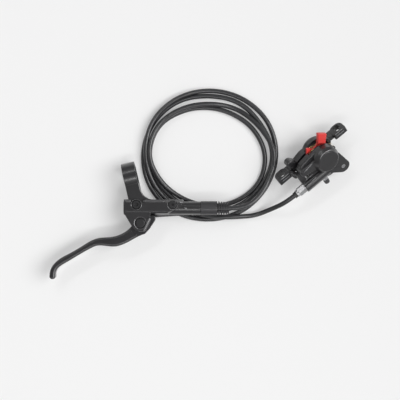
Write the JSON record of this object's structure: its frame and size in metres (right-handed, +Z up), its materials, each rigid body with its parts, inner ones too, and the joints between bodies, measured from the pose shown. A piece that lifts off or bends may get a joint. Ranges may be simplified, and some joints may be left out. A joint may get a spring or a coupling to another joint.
{
  "type": "hydraulic disc brake",
  "caption": "Bicycle hydraulic disc brake: lever with handlebar clamp and master cylinder, hose lying in loose turns, and a post-mount caliper with pads and red spacer.",
  "frame": {"origin": "middle of the handlebar clamp's bore", "axes": "+X along the master cylinder towards the hose, +Y from the lever's finger blade towards the bar, +Z up from the table the brake lies on"},
  "size_m": [0.3124, 0.1994, 0.0485],
  "materials": {
    "black_metal": "black anodised, satin",
    "blade_metal": "black anodised, soft sheen",
    "dark_steel": "black oxide",
    "bright_steel": "plated, bright",
    "zinc_steel": "zinc plated",
    "brass": "plain",
    "nylon": "moulded",
    "phenolic": "moulded, tan",
    "red_plastic": "moulded, red",
    "black_rubber": "moulded",
    "hose_black": "extruded, satin",
    "lining": "pressed resin and brass",
    "bronze": "sintered"
  },
  "bodies": {
    "brake": {"lever_body": "black_metal", "clamp_bolt": "dark_steel", "pivot_pin": "dark_steel", "pivot_clip": "dark_steel", "piston_circlip": "dark_steel", "return_spring": "bright_steel", "reservoir_lid": "black_metal", "diaphragm": "black_rubber", "lid_screws": "dark_steel", "bleed_screw": "dark_steel", "bleed_o_ring": "black_rubber", "lever_insert": "brass", "lever_olive": "brass", "connecting_bolt": "bright_steel", "hose_boot": "black_rubber", "hose_lead": "hose_black", "hose_coil": "hose_black", "hose_tail": "hose_black", "caliper_outer_half": "black_metal", "caliper_inner_half": "black_metal", "joining_bolts": "dark_steel", "transfer_o_ring": "black_rubber", "outer_piston_seal": "black_rubber", "inner_piston_seal": "black_rubber", "pad_spring": "brass", "pad_pin": "zinc_steel", "pad_pin_clip": "dark_steel", "pad_spacer": "red_plastic", "bleed_nipple": "zinc_steel", "bleed_cap": "black_rubber", "hose_nut": "bright_steel", "hose_ferrule": "nylon", "caliper_olive": "brass", "caliper_insert": "brass"},
    "lever": {"lever_blade": "blade_metal", "reach_screw": "dark_steel", "pivot_bushings": "bronze"},
    "plunger": {"master_piston": "zinc_steel", "push_rod": "bright_steel", "primary_seal": "black_rubber", "secondary_seal": "black_rubber"},
    "outer_pad": {"outer_piston": "phenolic", "outer_pad_plate": "dark_steel", "outer_pad_lining": "lining"},
    "inner_pad": {"inner_piston": "phenolic", "inner_pad_plate": "dark_steel", "inner_pad_lining": "lining"}
  },
  "joints": [
    {"name": "lever_pivot", "type": "hinge", "parent": "brake", "child": "lever", "pos_m": [0.011, -0.0487, 0.0045], "axis": [0, 0, -1], "range_deg": [0, 20], "stiffness_Nm_per_rad": 0.26, "springref_deg": -17.19},
    {"name": "master_piston_slide", "type": "slide", "parent": "brake", "child": "plunger", "axis": [1, 0, 0], "range_m": [0, 0.0052], "deforming": ["return_spring"]},
    {"name": "outer_pad_slide", "type": "slide", "parent": "brake", "child": "outer_pad", "axis": [-0.4283, 0.5141, -0.7431], "range_m": [0, 0.00048]},
    {"name": "inner_pad_slide", "type": "slide", "parent": "brake", "child": "inner_pad", "axis": [0.4283, -0.5141, 0.7431], "range_m": [0, 0.00048]}
  ],
  "couplings": [
    {"joint": "master_piston_slide", "follows": "lever_pivot", "m_per_rad": 0.01461},
    {"joint": "outer_pad_slide", "follows": "lever_pivot", "m_per_rad": 0.001342},
    {"joint": "inner_pad_slide", "follows": "lever_pivot", "m_per_rad": 0.001342}
  ]
}
